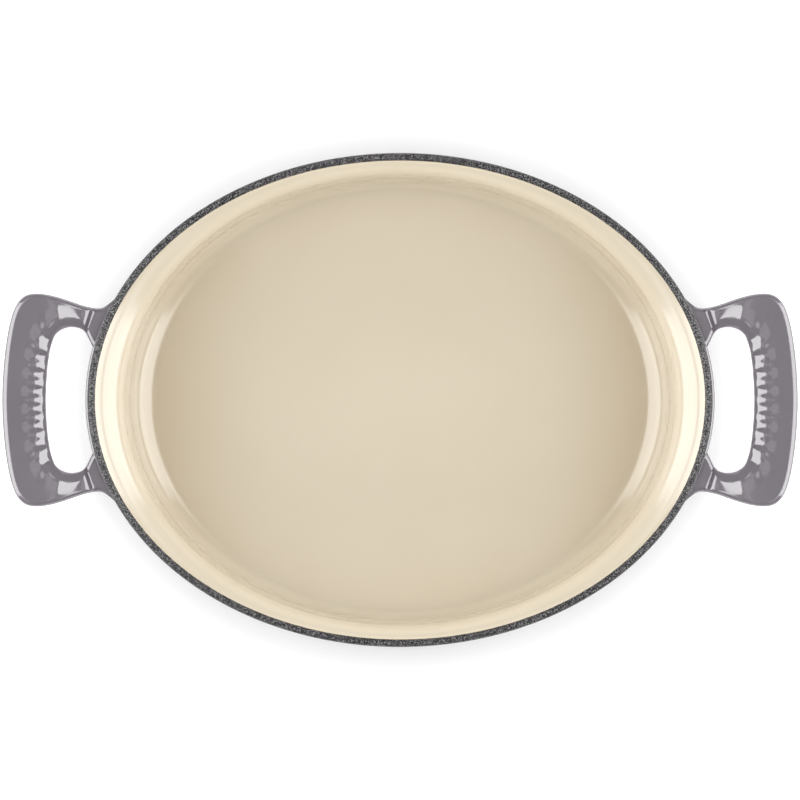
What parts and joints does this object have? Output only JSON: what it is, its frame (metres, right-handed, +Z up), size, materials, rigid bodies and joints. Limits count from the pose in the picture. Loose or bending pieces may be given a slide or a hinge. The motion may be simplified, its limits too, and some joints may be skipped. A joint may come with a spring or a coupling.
{
  "type": "gratin dish",
  "caption": "Oval gratin dish in enamelled cast iron, with a steep wall, a round rim bead and a loop handle with finger ribs at each end.",
  "frame": {"origin": "middle of the dish, on the surface that its foot ring stands on", "axes": "+X along the dish to one handle, +Y across it, +Z up"},
  "size_m": [0.3578, 0.222, 0.046],
  "materials": {
    "iron": "as cast, grey iron under the enamel",
    "sand_enamel": "glossy sand-coloured enamel",
    "rim_enamel": "satin black enamel, finely speckled",
    "grey_enamel": "glossy grey enamel",
    "base_enamel": "matte black ground coat"
  },
  "bodies": {
    "root": {"iron_casting": "iron", "interior_enamel": "sand_enamel", "rim_enamel": "rim_enamel", "exterior_enamel": "grey_enamel", "base_enamel": "base_enamel"}
  },
  "joints": []
}
